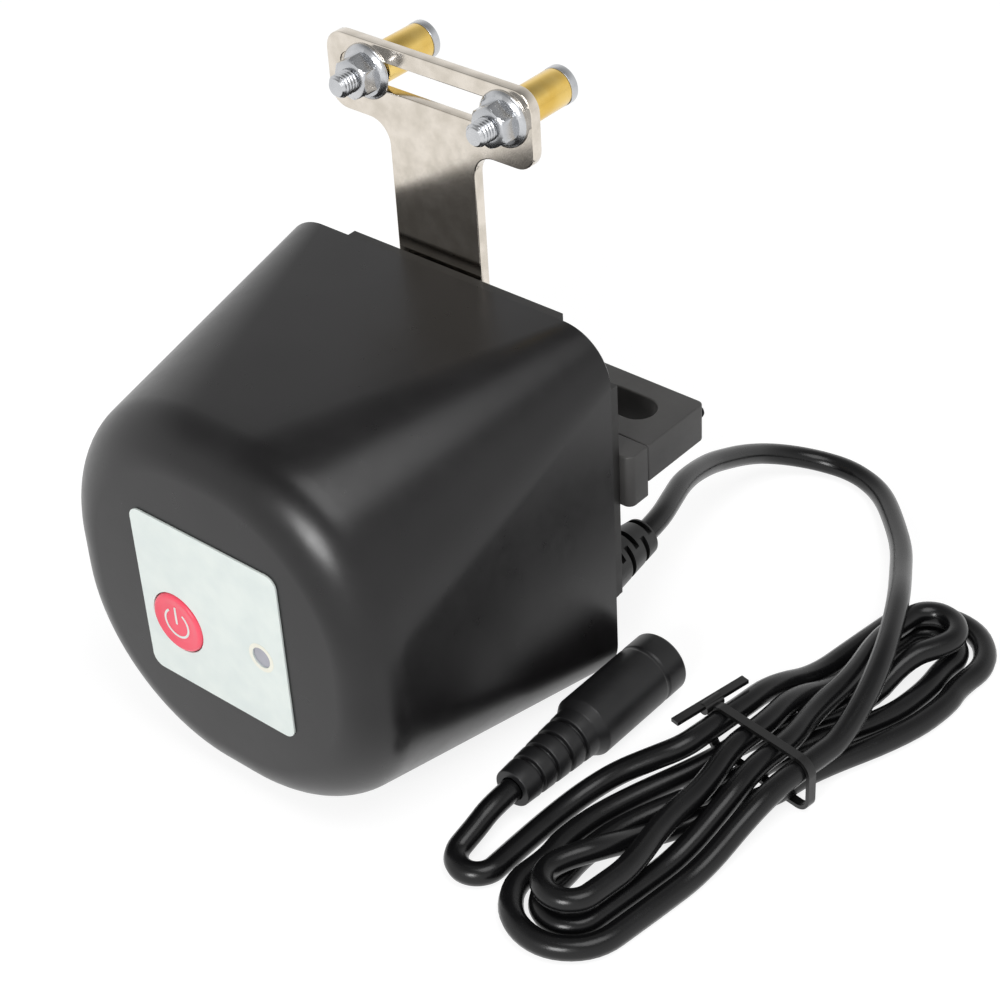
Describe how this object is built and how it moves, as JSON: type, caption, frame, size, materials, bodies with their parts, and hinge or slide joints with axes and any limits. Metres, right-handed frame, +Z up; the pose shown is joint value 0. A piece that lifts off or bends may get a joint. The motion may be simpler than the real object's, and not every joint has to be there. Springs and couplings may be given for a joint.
{
  "type": "smart water valve controller",
  "caption": "Motorised valve controller with a round-fronted housing, a slotted T arm for a lever handle, a pipe bracket and a coiled low-voltage lead.",
  "frame": {"origin": "centre of the object's box at floor level, without its lead", "axes": "X right as seen from the front, Y from the front panel to the rear, Z up"},
  "size_m": [0.1511, 0.1663, 0.1324],
  "materials": {
    "housing_black": "satin moulded ABS",
    "cover_black": "satin moulded ABS",
    "label_film": "semi-gloss printed film",
    "button_red": "glossy",
    "lens_grey": "translucent, glossy",
    "nickel_sheet": "nickel plated, fine grain",
    "zinc_steel": "bright zinc",
    "brass": "turned",
    "bracket_black": "matt",
    "gland_black": "satin",
    "cord_black": "glossy PVC",
    "tie_black": "satin",
    "jack_black": "satin PVC",
    "contact_metal": "bright nickel",
    "motor_steel": "plated can",
    "gear_acetal": "natural acetal",
    "gear_steel": "machined",
    "bronze": "sintered",
    "seal_rubber": "matt",
    "board_green": "solder mask",
    "relay_blue": "satin"
  },
  "bodies": {
    "housing": {"front_housing": "housing_black", "back_cover": "cover_black", "cover_gasket": "seal_rubber", "cover_screws": "zinc_steel", "front_label": "label_film", "status_lens": "lens_grey", "bracket_base": "bracket_black", "clamp_arm": "bracket_black", "clamp_screws": "zinc_steel", "base_screws": "zinc_steel", "cord_gland": "gland_black", "cord_lead": "cord_black", "cord_hank": "cord_black", "cord_tail": "cord_black", "hank_tie": "tie_black", "jack_body": "jack_black", "jack_insert": "jack_black", "jack_pin": "contact_metal", "geared_motor": "motor_steel", "first_axle": "gear_steel", "front_gear_plate": "gear_steel", "rear_gear_plate": "gear_steel", "gear_posts": "gear_steel", "motor_screws": "zinc_steel", "plate_screws": "zinc_steel", "output_bush": "bronze", "shaft_seal": "seal_rubber", "limit_switches": "jack_black", "control_board": "board_green", "wifi_module": "motor_steel", "motor_relays": "relay_blue", "board_screws": "zinc_steel", "button_switch": "jack_black", "status_led": "lens_grey"},
    "output": {"output_shaft": "gear_steel", "output_gear": "gear_steel", "limit_cam": "gear_acetal", "t_arm": "nickel_sheet", "arm_washer": "zinc_steel", "arm_screw": "zinc_steel"},
    "compound_gear": {"first_gear": "gear_acetal"},
    "pinion": {"motor_pinion": "brass"},
    "left_stud": {"left_bolt": "zinc_steel", "left_sleeve": "brass", "left_nut": "zinc_steel"},
    "right_stud": {"right_bolt": "zinc_steel", "right_sleeve": "brass", "right_nut": "zinc_steel"},
    "button": {"power_button": "button_red", "switch_plunger": "gear_acetal"}
  },
  "joints": [
    {"name": "arm_turn", "type": "hinge", "parent": "housing", "child": "output", "pos_m": [-0.0038, 0.0025, 0.04395], "axis": [0, -1, 0], "range_deg": [0, 90]},
    {"name": "compound_turn", "type": "hinge", "parent": "housing", "child": "compound_gear", "pos_m": [0.01875, 0.002, 0.05216], "axis": [0, -1, 0], "range_deg": [-270, 0]},
    {"name": "pinion_turn", "type": "hinge", "parent": "housing", "child": "pinion", "pos_m": [0.01191, -0.0035, 0.03336], "axis": [0, -1, 0], "range_deg": [0, 1080]},
    {"name": "left_stud_slide", "type": "slide", "parent": "output", "child": "left_stud", "axis": [1, 0, 0], "range_m": [-0.004, 0.0098]},
    {"name": "right_stud_slide", "type": "slide", "parent": "output", "child": "right_stud", "axis": [1, 0, 0], "range_m": [-0.0134, 0.0004]},
    {"name": "button_press", "type": "slide", "parent": "housing", "child": "button", "axis": [0, 1, 0], "range_m": [0, 0.0005], "stiffness_N_per_m": 3000}
  ],
  "couplings": [
    {"joint": "compound_turn", "follows": "arm_turn", "ratio": -3},
    {"joint": "pinion_turn", "follows": "arm_turn", "ratio": 12}
  ]
}
